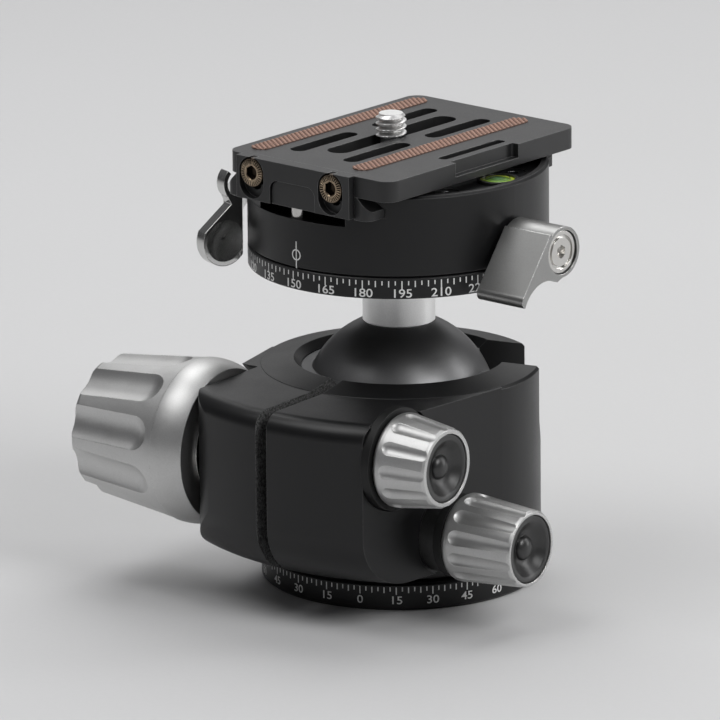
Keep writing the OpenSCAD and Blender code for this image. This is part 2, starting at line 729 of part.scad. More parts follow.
module clamp_body() color([0.06, 0.06, 0.065]) {
    jaw_x = -dovetail_x + dove_r + dovetail_gap;
    difference() {
        rotate_extrude() polygon([[0, clamp_z], [clamp_r - 0.3, clamp_z], [clamp_r, clamp_z + 0.3],
            [clamp_r, clamp_top - 0.5], [clamp_r - 0.5, clamp_top], [0, clamp_top]]);
        // channel: deep floor, shoulder and undercut on the fixed side, open on the other
        along_y(-40, 40) polygon([[-40, channel_z], [-dovetail_x + floor_half, channel_z],
            [-dovetail_x + floor_half, shoulder_z], [jaw_x, shoulder_z], [jaw_x, edge_z],
            [jaw_x - (clamp_top - edge_z), clamp_top], [jaw_x - (clamp_top - edge_z), clamp_top + 5],
            [-40, clamp_top + 5]]);
        // sunken crescent beside the jaw
        translate([0, 0, clamp_top - 1.2]) intersection() {
            cylinder(r = clamp_r - 1.6, h = 5);
            translate([jaw_x + 0.6, -40, 0]) cube([40, 80, 5]);
        }
        // pan spindle and its keeper
        translate([0, 0, clamp_z - 1]) cylinder(r = spindle_d / 2 + run, h = 20);
        translate([0, 0, spindle_top - face]) cylinder(r = keeper_r + 0.3, h = 20);
        // grooves of the moving jaw
        for (y = [-rib_y, rib_y]) translate([-40, y - 2.6, channel_z - 1.5]) cube([27.8, 5.2, 3]);
        // bubble level, jaw screws, safety pin, pan lock
        translate([bubble_x, 2.5, clamp_top - 4]) cylinder(d = bubble_cup_d, h = 6);
        for (y = [-jaw_screw_y, jaw_screw_y]) translate([jaw_screw_x, y, clamp_top - jaw_screw_deep - 0.2]) {
            cylinder(d = jaw_screw_d, h = 9);
            translate([0, 0, jaw_thread_l - 0.3]) cylinder(d = jaw_screw_d + 2.2, h = 6);
        }
        translate([pin_x, pin_y, pin_low - pin_travel - 0.4]) cylinder(r = pin_d / 2 + run, h = 12);
        translate([4, lever_y, lever_z]) rotate([0, 90, 0]) cylinder(r = stud_r + run, h = 40);
    }
}

module jaw_screws() color([0.3, 0.3, 0.32])
    for (y = [-jaw_screw_y, jaw_screw_y]) translate([jaw_screw_x, y, clamp_top - jaw_screw_deep]) difference() {
        union() {
            cylinder(d = jaw_screw_d, h = jaw_thread_l);
            translate([0, 0, jaw_thread_l - 0.5]) cylinder(d = jaw_screw_d + 2, h = 1.4);
        }
        translate([0, 0, jaw_thread_l + 0.9]) hex_key(2, 1);
    }

module bubble_cup() color([0.75, 0.76, 0.3]) translate([bubble_x, 2.5, clamp_top - 4]) difference() {
    cylinder(d = bubble_cup_d, h = 3.5);
    translate([0, 0, 0.8]) cylinder(d = bubble_cup_d - 1.4, h = 4);
}

module bubble_vial() color([0.6, 0.9, 0.2, 0.6]) translate([bubble_x, 2.5, clamp_top - 3.2]) difference() {
    union() {
        cylinder(d = bubble_cup_d - 1.4, h = 2.3);
        intersection() {
            translate([0, 0, 2.7 - 10]) sphere(r = 10);
            cylinder(d = bubble_cup_d - 1.8, h = 3);
        }
    }
    translate([0.3, -0.2, 1.3]) sphere(r = 0.95);
}

module bubble() color([0.9, 1, 0.7]) translate([bubble_x + 0.3, 2.3, clamp_top - 1.9]) sphere(r = 0.9);

module lock_pad() color([0.75, 0.6, 0.3]) intersection() {
    translate([spindle_d / 2 - 0.5, lever_y, lever_z]) rotate([0, 90, 0]) cylinder(r = stud_r, h = 3.5);
    difference() {
        translate([0, -10, 60]) cube([20, 20, 30]);
        translate([0, 0, 60]) cylinder(r = spindle_d / 2 + run, h = 30);
    }
}

module safety_pin() color([0.8, 0.8, 0.82]) translate([pin_x, pin_y, pin_low])
    rotate_extrude() polygon([[0, 0], [pin_d / 2, 0], [pin_d / 2, 7.7], [pin_d / 2 - 0.4, 8.1], [0, 8.1]]);

// the moving jaw's outside, its lever's pocket and its pin's hole, cut from what it is given
module jaw_part() difference() {
    intersection() {
        children();
        rotate_extrude() polygon([[0, 60], [clamp_r, 60], [clamp_r, clamp_top - 0.5],
            [clamp_r - 0.5, clamp_top], [0, clamp_top]]);
    }
    translate([pivot[0], pivot[1], lever_low - 0.25]) cylinder(r = lever_swing + 0.4, h = lever_high - lever_low + 0.5);
    translate([pivot[0], pivot[1], channel_z]) cylinder(d = 3, h = 20);
}

module moving_jaw() color([0.06, 0.06, 0.065]) jaw_part() {
    along_y(-40, 40) polygon([[-40, channel_z + face], [-dovetail_x - floor_half, channel_z + face],
        [-dovetail_x - floor_half, shoulder_z], [jaw_x, shoulder_z], [jaw_x, edge_z], [-40, edge_z]]);
    for (y = [-rib_y, rib_y]) translate([-29, y - 2.5, channel_z - 1.4]) cube([jaw_travel + 8.8, 5, 3]);
}

// the lip that hooks over the dovetail
module jaw_lip() color([0.06, 0.06, 0.065]) jaw_part()
    along_y(-40, 40) polygon([[-40, edge_z], [jaw_x, edge_z], [jaw_x + clamp_top - edge_z, clamp_top],
        [-40, clamp_top]]);

// a bar along the clamp's rim; near its pivot it is thin enough for the jaw's pocket
module release_lever() color([0.6, 0.6, 0.62]) difference() {
    union() {
        translate([pivot[0], pivot[1], lever_low]) cylinder(r = hub_r, h = lever_high - lever_low);
        translate([pivot[0] - 4.4, pivot[1] - 2.5, lever_low]) cube([4.4, 5, lever_high - lever_low]);
        rim_bar(arm_low, arm_high, -46);
        rim_bar(arm_low, lever_high, -17);
        paddle();
    }
    translate([pivot[0], pivot[1], 60]) cylinder(d = 3 + 2 * run, h = 40);
}

// part of the bar, from the pivot round to the direction [-60, y_end]
module rim_bar(z0, z1, y_end) difference() {
    intersection() {
        translate([0, 0, z0]) cylinder(r = clamp_r + rim_gap + release_t, h = z1 - z0);
        translate([0, 0, 60]) linear_extrude(40)
            polygon([[0, 0], [0, pivot[1] - 1], [-60, pivot[1] - 1], [-60, y_end]]);
    }
    translate([0, 0, 60]) cylinder(r = clamp_r + rim_gap, h = 40);
    translate([pivot[0], pivot[1], 60]) cylinder(r = lever_swing, h = lever_low - 60);
}

// hollowed thumb paddle below, hooked finger above, joined by a short block
module paddle() difference() {
    t = 2.6;
    mid = [4.35, 71.6];
    dish = paddle_r - 1;
    deep = 0.9;
    ball_of_thumb = (dish * dish + deep * deep) / 2 / deep;
    hook = [0.74, 83.4];
    translate([-25.6, -20.2, 0]) rotate([0, 0, -106.3]) rotate([90, 0, 0]) difference() {
        translate([0, 0, -t / 2]) linear_extrude(t) {
            difference() {
                translate(mid) circle(r = paddle_r);
                polygon([[2, 79.5], [14, 70.2], [14, 82]]);
            }
            polygon([[-1, 73], [-1.2, arm_high], [1.26, arm_high - 0.2], [2.35, 80.9], [3.6, 80.6],
                [2.75, 79.05], [8.4, 74.55], mid]);
            translate(hook) difference() {
                circle(r = 3.9);
                circle(r = 2.9);
                polygon([[0, 0], 9 * [cos(-62), sin(-62)], [-1, -9], [-9, 0], [-1, 9], 9 * [cos(46), sin(46)]]);
            }
        }
        translate([mid[0], mid[1], -t / 2 + deep - ball_of_thumb]) sphere(r = ball_of_thumb);
    }
    translate([0, 0, 60]) cylinder(r = clamp_r + rim_gap, h = 40);
}

module release_pin() color([0.4, 0.4, 0.42]) translate([pivot[0], pivot[1], channel_z + face])
    cylinder(d = 3, h = clamp_top - channel_z - face);

// ---- pan lever ----

module pan_lever() color([0.6, 0.6, 0.62]) {
    tip_r = 1.5;
    translate([lever_x, lever_y, lever_z]) difference() {
        rotate([90, 0, 90]) linear_extrude(lever_w) {
            circle(r = lever_hub_r);
            difference() {
                union() {
                    translate([-lever_reach, -lever_drop]) circle(r = tip_r);
                    polygon([[-3.9, 4.4], [-lever_reach - 1.35, -lever_drop + 0.65],
                        [-lever_reach, -lever_drop - tip_r], [-lever_reach + 1, -lever_drop - 1.1],
                        [0, -lever_hub_r], [0, 0]]);
                }
                translate([-5.4, -12.2]) circle(r = 7.2);
            }
        }
        translate([lever_w - 2.6, 0, 0]) rotate([0, 90, 0]) cylinder(r = 4.6, h = 5);
        translate([-1, 0, 0]) rotate([0, 90, 0]) cylinder(r = stud_r, h = lever_w);
    }
}

module lever_stud() color([0.7, 0.7, 0.72]) translate([spindle_d / 2 + 3.05, lever_y, lever_z])
    rotate([0, 90, 0]) difference() {
        cylinder(r = stud_r, h = lever_x - spindle_d / 2 - 3.05 + lever_w - 2.6);
        translate([0, 0, 20]) cylinder(d = 3, h = 20);
    }

module lever_screw() color([0.7, 0.7, 0.72]) translate([lever_x + lever_w - 2.6, lever_y, lever_z])
    rotate([0, 90, 0]) difference() {
        union() {
            cylinder(r = 4.4, h = 2.2);
            translate([0, 0, -6]) cylinder(d = 3, h = 6.5);
        }
        translate([0, 0, 1.7]) difference() {
            cylinder(r = 3.6, h = 1);
            translate([0, 0, -1]) cylinder(r = 3, h = 3);
        }
        translate([0, 0, 2.2]) hex_key(2.5, 1.5);
    }

// ---- camera plate ----

// the plate is one milled piece: its flange, its dovetail and the door's tongue
module plate() color([0.07, 0.07, 0.075]) {
    plate_x1 = plate_x0 + plate_w;
    difference() {
        translate([0, 0, plate_under]) linear_extrude(plate_t)
            round_rect(plate_x0, plate_y0, plate_x1, plate_y0 + plate_l, plate_corner);
        plate_cuts();
        // edge recess, rubber strips
        translate([0, 0, plate_under + 1.5]) linear_extrude(10) round_rect(plate_x1 - 1.6, -9.6, 30, 10.4, 0.5);
        for (x = strip_x) translate([x, 0, plate_top_z - 0.6]) linear_extrude(1) slot2d(strip_w, strip_y[0], strip_y[1]);
    }
}

module dovetail() color([0.07, 0.07, 0.075]) difference() {
    intersection() {
        along_y(plate_y0, plate_y0 + plate_l) polygon([
            [-dovetail_x - dove_r, dovetail_z], [-dovetail_x - dove_r, dovetail_z + dovetail_edge],
            [-dovetail_x - dove_r + dove_slope, plate_under], [-dovetail_x + dove_r - dove_slope, plate_under],
            [-dovetail_x + dove_r, dovetail_z + dovetail_edge], [-dovetail_x + dove_r, dovetail_z]]);
        translate([0, 0, 80]) linear_extrude(20)
            round_rect(-dovetail_x - dove_r, plate_y0, -dovetail_x + dove_r, plate_y0 + plate_l, 2);
    }
    plate_cuts();
    // hollow for the camera screw's head
    translate([slot_x - camera_head_d / 2 - head_play, -18.2, 80])
        cube([camera_head_d + 2 * head_play, 43, web_z - 79]);
    pin_groove(1);
}

// what is cut through flange and dovetail alike: the stop bar's seat, its screws' holes and the slots
module plate_cuts() {
    for (x = bar_screw_x) translate([x, bar_y, bar_screw_z]) rotate([-90, 0, 0])
        cylinder(d = 3, h = bar_web + bar_screw_l + 0.1);
    translate([bar_x - bar_w / 2 - 0.1, plate_y0 - 3, 80]) cube([bar_w + 0.2, seat_y - plate_y0 + 3, 20]);
    translate([slot_x, 0, 80]) linear_extrude(20) slot2d(slot_w, -18.7, 19.3);
    for (x = [slot_x - slot_pitch, slot_x + slot_pitch]) translate([x, 0, 80]) linear_extrude(20) {
        slot2d(side_slot_w, -22.5, -3.3);
        slot2d(side_slot_w, 3.2, 22.2);
    }
    translate([0, 0, 80]) linear_extrude(20) round_rect(17.9, -9, 20.2, 10.7, 0.9);
}

module plate_door() color([0.07, 0.07, 0.075]) difference() {
    translate([-dovetail_x - door_w / 2 + 0.2, seat_y, 0]) rotate([90, 0, 0])
        linear_extrude(seat_y - bar_y - 0.5) round_door(door_w - 0.2, door_z - 0.1);
    pin_groove(0);
}

// groove that the safety pin rides in
module pin_groove(over)
    translate([pin_x - groove_half, groove_y[0], 80])
        cube([2 * groove_half, groove_y[1] - groove_y[0], plate_under - 80 + over]);

// the door's outline, the front tongue that the stop bar straddles
module round_door(w, top) {
    r = 2;
    translate([0, dovetail_z + 0.2]) square([w, top - dovetail_z - 0.2 - r]);
    translate([r, top - r - 0.01]) square([w - 2 * r, r + 0.01]);
    for (x = [r, w - r]) translate([x, top - r]) circle(r = r);
}

module stop_bar() color([0.07, 0.07, 0.075]) {
    x0 = bar_x - bar_w / 2;
    difference() {
        translate([x0, bar_y, bar_z]) cube([bar_w, bar_t, plate_top_z - bar_z]);
        translate([-dovetail_x - door_w / 2, bar_y - 1, 0]) rotate([90, 0, 0])
            translate([0, 0, -bar_t - 2]) linear_extrude(bar_t + 2) {
                round_door(door_w + 0.2, door_z);
                translate([0, bar_z - 1]) square([door_w + 0.2, 3]);
            }
        for (x = bar_screw_x) translate([x, bar_y, bar_screw_z]) rotate([-90, 0, 0]) {
            translate([0, 0, -1]) cylinder(r = 1.6, h = bar_t + 2);
            translate([0, bar_travel, -1]) cylinder(r = 1.6, h = bar_t + 2);
            translate([-1.6, 0, -1]) cube([3.2, bar_travel, bar_t + 2]);
            translate([0, 0, -1]) cylinder(r = bar_head_d / 2 + 0.15, h = bar_web + 1);
            translate([0, bar_travel, -1]) cylinder(r = bar_head_d / 2 + 0.15, h = bar_web + 1);
            translate([-bar_head_d / 2 - 0.15, 0, -1]) cube([bar_head_d + 0.3, bar_travel, bar_web + 1]);
        }
    }
}

module bar_screws() color([0.55, 0.42, 0.3])
    for (x = bar_screw_x) translate([x, bar_y, bar_screw_z]) rotate([-90, 0, 0]) difference() {
        union() {
            translate([0, 0, bar_web - face]) cylinder(d = 3, h = bar_screw_l);
            rotate_extrude() polygon([[0, -0.2], [bar_head_d / 2 - 0.9, -0.2], [bar_head_d / 2, 0.5],
                [bar_head_d / 2, bar_web - face], [0, bar_web - face]]);
        }
        translate([0, 0, -1]) cylinder(d = 2.5 / cos(30), h = 2.2, $fn = 6);
    }

module strip(x) color([0.45, 0.33, 0.27]) translate([x, 0, plate_top_z - 0.6])
    linear_extrude(0.6 + strip_proud) slot2d(strip_w - 0.1, strip_y[0] + 0.05, strip_y[1] - 0.05);

module strip_left() strip(strip_x[0]);
module strip_right() strip(strip_x[1]);

module screw_clip() color([0.4, 0.4, 0.42]) translate([slot_x, 0, web_z - 0.5]) difference() {
    cylinder(r = 5.5, h = 0.5 - face);
    translate([0, 0, -1]) cylinder(r = screw_neck_r + run, h = 3);
}

module camera_screw() color([0.75, 0.75, 0.77]) translate([slot_x, 0, 0]) {
    thread_r = camera_thread_d / 2;
    top = plate_top_z + camera_thread_l;
    difference() {
        rotate_extrude() polygon([[0, dovetail_z + 0.3], [camera_head_d / 2, dovetail_z + 0.3],
            [camera_head_d / 2, web_z - 0.6], [screw_neck_r, web_z - 0.6], [screw_neck_r, plate_top_z + 0.05],
            [thread_r, plate_top_z + 0.15], [thread_r, top - 0.7], [thread_r - 0.7, top], [0, top]]);
        translate([0, 0, dovetail_z]) cylinder(d = 4 / cos(30), h = 3.3, $fn = 6);
        translate([-10, -0.6, dovetail_z]) cube([20, 1.2, 1.5]);
    }
}

// ---- nodes ----

base_disc();
base_bush();
base_pad();
pan_retainer();
retainer_screws();
housing();
lower_cup();
ball_liner();
pan_pad();
pan_collar();
main_washer();
main_knob();
main_cap();
main_stud();
friction_knob();
friction_cap();
friction_screw();
friction_ring();
pan_knob();
pan_cap();
pan_screw();
pan_ring();
ball();
stem();
stem_bolt();
scale_ring();
spindle_keeper();
clamp_body();
jaw_screws();
bubble_cup();
bubble_vial();
bubble();
lock_pad();
safety_pin();
moving_jaw();
jaw_lip();
release_lever();
release_pin();
pan_lever();
lever_stud();
lever_screw();
plate();
dovetail();
plate_door();
strip_left();
strip_right();
bar_screws();
stop_bar();
screw_clip();
camera_screw();
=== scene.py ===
"""The looks of a tripod ball head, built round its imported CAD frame.

Lengths are in millimetres until a mesh is made.
"""

import math

import bmesh
import bpy
from mathutils import Matrix, Vector


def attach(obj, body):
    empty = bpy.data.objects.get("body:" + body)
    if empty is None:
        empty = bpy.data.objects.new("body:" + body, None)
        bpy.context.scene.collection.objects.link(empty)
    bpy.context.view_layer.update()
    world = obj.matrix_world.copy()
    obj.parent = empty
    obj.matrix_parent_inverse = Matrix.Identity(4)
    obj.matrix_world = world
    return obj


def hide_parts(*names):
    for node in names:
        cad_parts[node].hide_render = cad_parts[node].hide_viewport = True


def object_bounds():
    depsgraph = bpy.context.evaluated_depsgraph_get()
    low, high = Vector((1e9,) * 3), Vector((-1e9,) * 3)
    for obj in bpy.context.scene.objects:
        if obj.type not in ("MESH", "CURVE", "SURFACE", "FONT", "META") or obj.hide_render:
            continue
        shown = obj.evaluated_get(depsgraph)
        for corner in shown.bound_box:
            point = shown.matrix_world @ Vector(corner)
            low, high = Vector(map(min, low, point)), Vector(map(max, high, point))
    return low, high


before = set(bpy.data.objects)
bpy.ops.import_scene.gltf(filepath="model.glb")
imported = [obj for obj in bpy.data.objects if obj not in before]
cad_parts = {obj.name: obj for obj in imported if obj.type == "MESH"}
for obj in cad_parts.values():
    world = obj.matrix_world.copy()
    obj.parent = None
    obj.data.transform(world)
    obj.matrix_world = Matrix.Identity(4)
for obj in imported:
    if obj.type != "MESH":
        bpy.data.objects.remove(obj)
cad_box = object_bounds()

MM = 0.001

# ---------------------------------------------------------------- places and sizes shared with the CAD

BASE_R = 28.85
RING_R = 31.0
SLOT_X = -1.75               # middle row of slots in the plate
PLATE_TOP = 92.9
STRIPS = {"strip_left": -15.7, "strip_right": 11.4}
STRIP_Y = (-26.45, 26.95)
STRIP_HALF = 2.15
BAR_SCREW_X = (-12.0, 9.1)
BAR_SCREW_Z = 89.7
BAR_Y = -32.0                # front face of the stop bar
BUBBLE = (24.5, 2.5)         # middle of the bubble level
BUBBLE_TOP = 87.49
BODY_TURN = math.radians(4.3)    # the housing stands turned against the plate
SLIT_HALF = 1.42             # just over half the clamping slit's width
SLIT_BACK = -20.5            # innermost y of the slit's sawn faces
STEM_R = 7.5
STEM_FOOT = 54.02            # where the stem meets the ball
ROOT_GAP_R = 7.08            # inside of the stem's foot, clear of the neck root that is one with the ball
RING_Z, RING_TOP = 67.0, 71.0
RING_LOW = 66.65             # lower edge of the ring's skirt
SPINDLE_R, SPINDLE_TOP = 10.0, 78.9
BOLT_R = 3.05

# ---------------------------------------------------------------- mesh helpers


def mesh_object(name, verts, faces, smooth_angle=None):
    mesh = bpy.data.meshes.new(name)
    mesh.from_pydata([Vector(v) * MM for v in verts], [], faces)
    bm = bmesh.new()
    bm.from_mesh(mesh)
    bmesh.ops.remove_doubles(bm, verts=bm.verts, dist=1e-7)
    bmesh.ops.recalc_face_normals(bm, faces=bm.faces)
    bm.to_mesh(mesh)
    bm.free()
    if smooth_angle:
        mesh.shade_smooth()
        mesh.set_sharp_from_angle(angle=math.radians(smooth_angle))
    obj = bpy.data.objects.new(name, mesh)
    bpy.context.scene.collection.objects.link(obj)
    return obj


def lathe(rows, count, place):
    """Closed surface of revolution, whose ends close on the axis.

    Each row is a function of the angle that gives (r, z).
    """
    verts, faces = [], []
    for row in rows:
        for i in range(count):
            angle = 2 * math.pi * i / count
            r, z = row(angle)
            verts.append(place @ Vector((r * math.cos(angle), r * math.sin(angle), z)))
    for k in range(len(rows) - 1):
        for i in range(count):
            j = (i + 1) % count
            faces.append((k * count + i, k * count + j, (k + 1) * count + j, (k + 1) * count + i))
    for k in (0, len(rows) - 1):
        centre = len(verts)
        verts.append(place @ Vector((0, 0, rows[k](0)[1])))
        for i in range(count):
            faces.append((k * count + i, k * count + (i + 1) % count, centre))
    return verts, faces


def join_meshes(parts):
    verts, faces = [], []
    for part_verts, part_faces in parts:
        start = len(verts)
        verts += part_verts
        faces += [tuple(i + start for i in face) for face in part_faces]
    return verts, faces


def circle_row(r, z):
    return lambda angle: (r, z)


def hexagon_row(flat, z):
    """A row on a hexagon with that distance from the axis to its flats."""
    def row(angle):
        turn = (angle + math.pi / 6) % (math.pi / 3) - math.pi / 6
        return flat / math.cos(turn), z
    return row


def box_part(x, y, d):
    """A closed box over three ranges."""
    verts = [(x[i], y[j], d[k]) for i in (0, 1) for j in (0, 1) for k in (0, 1)]
    faces = [(0, 1, 3, 2), (4, 6, 7, 5), (0, 4, 5, 1), (2, 3, 7, 6), (0, 2, 6, 4), (1, 5, 7, 3)]
    return verts, faces


def annulus_part(inner, outer, d, count=48):
    verts, faces = [], []
    for i in range(count):
        c, s = math.cos(2 * math.pi * i / count), math.sin(2 * math.pi * i / count)
        verts += [(inner * c, inner * s, d[0]), (outer * c, outer * s, d[0]),
                  (outer * c, outer * s, d[1]), (inner * c, inner * s, d[1])]
    for i in range(count):
        a, b = 4 * i, 4 * ((i + 1) % count)
        faces += [(a + k, b + k, b + (k + 1) % 4, a + (k + 1) % 4) for k in range(4)]
    return verts, faces


def bend(part, radius, degrees, z):
    """Wraps a flat part (x along the wall, y up, depth outward) round the Z axis."""
    verts, faces = part
    bent = []
    for x, y, d in verts:
        angle = math.radians(degrees) + x / radius
        bent.append(((radius + d) * math.cos(angle), (radius + d) * math.sin(angle), z + y))
    return bent, faces


DIGIT_HEIGHT = 0.7           # of the font, for a size of 1
DIGIT_STRETCH = 1.16         # the object's numerals are wider than the font's
INK = (-0.03, 0.03)          # depth of a printed mark, from inside the wall to just proud of it


def text_part(text, height, weight):
    """The outline of a number as a flat closed part, centred on x, standing on y = 0."""
    curve = bpy.data.curves.new("number", "FONT")
    curve.body = text
    curve.size = 1.0
    curve.align_x = "CENTER"
    curve.resolution_u = 5
    curve.extrude = 0.5
    curve.offset = weight
    obj = bpy.data.objects.new("number", curve)
    bpy.context.scene.collection.objects.link(obj)
    mesh = bpy.data.meshes.new_from_object(obj.evaluated_get(bpy.context.evaluated_depsgraph_get()))
    size = height / DIGIT_HEIGHT
    low, high = INK
    verts = [(v.co.x * size * DIGIT_STRETCH, v.co.y * size, low + (v.co.z + 0.5) * (high - low))
             for v in mesh.vertices]
    faces = [tuple(p.vertices) for p in mesh.polygons]
    bpy.data.objects.remove(obj)
    bpy.data.curves.remove(curve)
    bpy.data.meshes.remove(mesh)
    return verts, faces


# ---------------------------------------------------------------- materials

EDGE_RANGE = (0.86, 0.995)   # how far the softened normal agrees with the true one, edge to face
ROUGH_VARY = 0.06
COAT_ROUGH = 0.12


class Graph:
    """A material's node tree with short calls to add to it."""

    def __init__(self, name):
        self.material = bpy.data.materials.new(name)
        self.material.use_nodes = True
        self.tree = self.material.node_tree
        self.shader = self.tree.nodes["Principled BSDF"]
        self.coords = self.add("ShaderNodeTexCoord").outputs["Object"]

    def add(self, kind, **settings):
        """A new node. A setting is a property of the node or else an input socket's value."""
        node = self.tree.nodes.new(kind)
        for key, value in settings.items():
            if hasattr(node, key):
                setattr(node, key, value)
            else:
                node.inputs[key].default_value = value
        return node

    def link(self, output, target):
        self.tree.links.new(output, target)

    def feed(self, sockets, values):
        """Gives each socket a colour, a number or a link."""
        for socket, value in zip(sockets, values):
            if isinstance(value, tuple):
                socket.default_value = (*value, 1.0)
            elif isinstance(value, (int, float)):
                socket.default_value = value
            elif value is not None:
                self.link(value, socket)

    def noise(self, size, detail=2.0, rough=0.5):
        """Noise whose features are about that many millimetres across."""
        node = self.add("ShaderNodeTexNoise", Scale=1000.0 / size, Detail=detail, Roughness=rough)
        self.link(self.coords, node.inputs["Vector"])
        return node.outputs["Fac"]

    def remap(self, source, low, high, start=0.3, end=0.7):
        """The range from start to end becomes the range from low to high, and stops there."""
        node = self.add("ShaderNodeMapRange", **{
            "clamp": True, "From Min": start, "From Max": end, "To Min": low, "To Max": high})
        self.link(source, node.inputs["Value"])
        return node.outputs["Result"]

    def maths(self, operation, a, b=None):
        node = self.add("ShaderNodeMath", operation=operation)
        self.feed(node.inputs, (a, b))
        return node.outputs["Value"]

    def mix(self, factor, a, b):
        node = self.add("ShaderNodeMix", data_type="RGBA")
        self.feed([s for s in node.inputs if s.enabled], (factor, a, b))
        return [s for s in node.outputs if s.enabled][0]

    def split(self, source):
        """The X, Y and Z of a vector."""
        node = self.add("ShaderNodeSeparateXYZ")
        self.link(source, node.inputs["Vector"])
        return node.outputs

    def edges(self, radius):
        """1 on sharp edges, 0 on flat and evenly curved faces, and the softened normal."""
        bevel = self.add("ShaderNodeBevel", Radius=radius * MM, samples=6)
        geometry = self.add("ShaderNodeNewGeometry")
        dot = self.add("ShaderNodeVectorMath", operation="DOT_PRODUCT")
        self.link(bevel.outputs["Normal"], dot.inputs[0])
        self.link(geometry.outputs["Normal"], dot.inputs[1])
        return self.remap(dot.outputs["Value"], 1.0, 0.0, *EDGE_RANGE), bevel.outputs["Normal"]


def shade(colour, factor):
    return tuple(min(1.0, c * factor) for c in colour)


def finish(name, colour, metallic, rough, vary=0.12, grain=0.3, mottle=9.0, bump=0.004,
           edge=None, edge_rough=None, edge_radius=0.22, coat=0.0, specular=0.5, extra=None):
    """A surface with fine grain, a broad cloudiness, and edges painted lighter, partly as wear and partly
    as a painted highlight.

    grain, mottle, bump and edge_radius are in millimetres. extra is a function that changes the base
    colour, the roughness and the height of the relief.
    """
    g = Graph(name)
    fine = g.noise(grain, 3.0, 0.6)
    broad = g.noise(mottle, 3.0)
    tone = g.maths("ADD", g.maths("MULTIPLY", fine, 0.6), g.maths("MULTIPLY", broad, 0.4))
    base = g.mix(g.remap(tone, 0.0, 1.0), shade(colour, 1 - vary), shade(colour, 1 + vary))
    roughness = g.remap(tone, rough - ROUGH_VARY, rough + ROUGH_VARY)
    normal = None
    if edge:
        rim, normal = g.edges(edge_radius)
        # painted highlight mixed with wear: sharp edges take the lighter edge colour, unevenly
        wear_and_highlight = g.maths("MULTIPLY", rim, g.remap(g.noise(3.5, 3.0), 0.45, 1.0))
        base = g.mix(wear_and_highlight, base, edge)
        if edge_rough is not None:
            roughness = g.maths("ADD", roughness, g.maths("MULTIPLY", wear_and_highlight, edge_rough - rough))
    if extra:
        base, roughness, fine = extra(g, base, roughness, fine)
    g.link(base, g.shader.inputs["Base Color"])
    g.link(roughness, g.shader.inputs["Roughness"])
    relief = g.add("ShaderNodeBump", Strength=1.0, Distance=bump * MM)
    g.link(fine, relief.inputs["Height"])
    if normal:
        g.link(normal, relief.inputs["Normal"])
    g.link(relief.outputs["Normal"], g.shader.inputs["Normal"])
    g.shader.inputs["Metallic"].default_value = metallic
    g.shader.inputs["Specular IOR Level"].default_value = specular
    if coat:
        g.shader.inputs["Coat Weight"].default_value = coat
        g.shader.inputs["Coat Roughness"].default_value = COAT_ROUGH
    return g.material


def slit_grain(g, base, roughness, fine):
    """The sawn faces of the clamping slit are coarser than the rest of the housing."""
    turn = g.add("ShaderNodeMapping", Rotation=(0.0, 0.0, -BODY_TURN))
    g.link(g.coords, turn.inputs["Vector"])
    place = g.split(turn.outputs["Vector"])
    inside = g.maths("MULTIPLY", g.maths("LESS_THAN", g.maths("ABSOLUTE", place["X"]), SLIT_HALF * MM),
                     g.maths("LESS_THAN", place["Y"], SLIT_BACK * MM))
    coarse = g.noise(0.45, 4.0, 0.75)
    speckle = g.remap(coarse, 0.008, 0.20, 0.40, 0.70)
    base = g.mix(inside, base, g.mix(speckle, (0.004, 0.004, 0.004), (1.0, 1.0, 1.0)))
    roughness = g.maths("ADD", roughness, g.maths("MULTIPLY", inside, 0.25))
    height = g.maths("ADD", fine, g.maths("MULTIPLY", g.maths("MULTIPLY", coarse, inside), 14.0))
    return base, roughness, height


def tread_shade(g, base, roughness, fine):
    """Painted shade: the grooves of the rubber's tread are darker than its studs."""
    low = g.remap(g.split(g.coords)["Z"], 1.0, 0.0, (PLATE_TOP + 0.04) * MM, (PLATE_TOP + 0.26) * MM)
    return g.mix(low, base, (0.085, 0.045, 0.034)), roughness, fine


def serration_shade(g, base, roughness, fine):
    """Painted shade: dark grooves between the bright serrations of the bar screws' heads, and a dark
    hexagon socket, darker the deeper they lie.
    """
    deep = g.remap(g.split(g.coords)["Y"], 0.0, 1.0, (BAR_Y - 0.02) * MM, (BAR_Y + 0.12) * MM)
    return g.mix(deep, base, (0.030, 0.022, 0.016)), roughness, fine


def vial_tint(g, base, roughness, fine):
    """Yellow-green liquid with painted shade that darkens it to the middle of the vial."""
    centre = g.add("ShaderNodeVectorMath", operation="DISTANCE")
    centre.inputs[1].default_value = (BUBBLE[0] * MM, BUBBLE[1] * MM, 87.0 * MM)
    g.link(g.coords, centre.inputs[0])
    ramp = g.add("ShaderNodeValToRGB")
    stops = ramp.color_ramp.elements
    stops[0].color = (0.03, 0.16, 0.07, 1)
    stops[1].color = (0.62, 0.74, 0.05, 1)
    stops.new(0.62).color = (0.20, 0.42, 0.04, 1)
    g.link(g.remap(centre.outputs["Value"], 0.0, 1.0, 0.4 * MM, 3.4 * MM), ramp.inputs["Fac"])
    return g.mix(g.remap(fine, 0.0, 0.12), ramp.outputs["Color"], (0.9, 1.0, 0.6)), roughness, fine
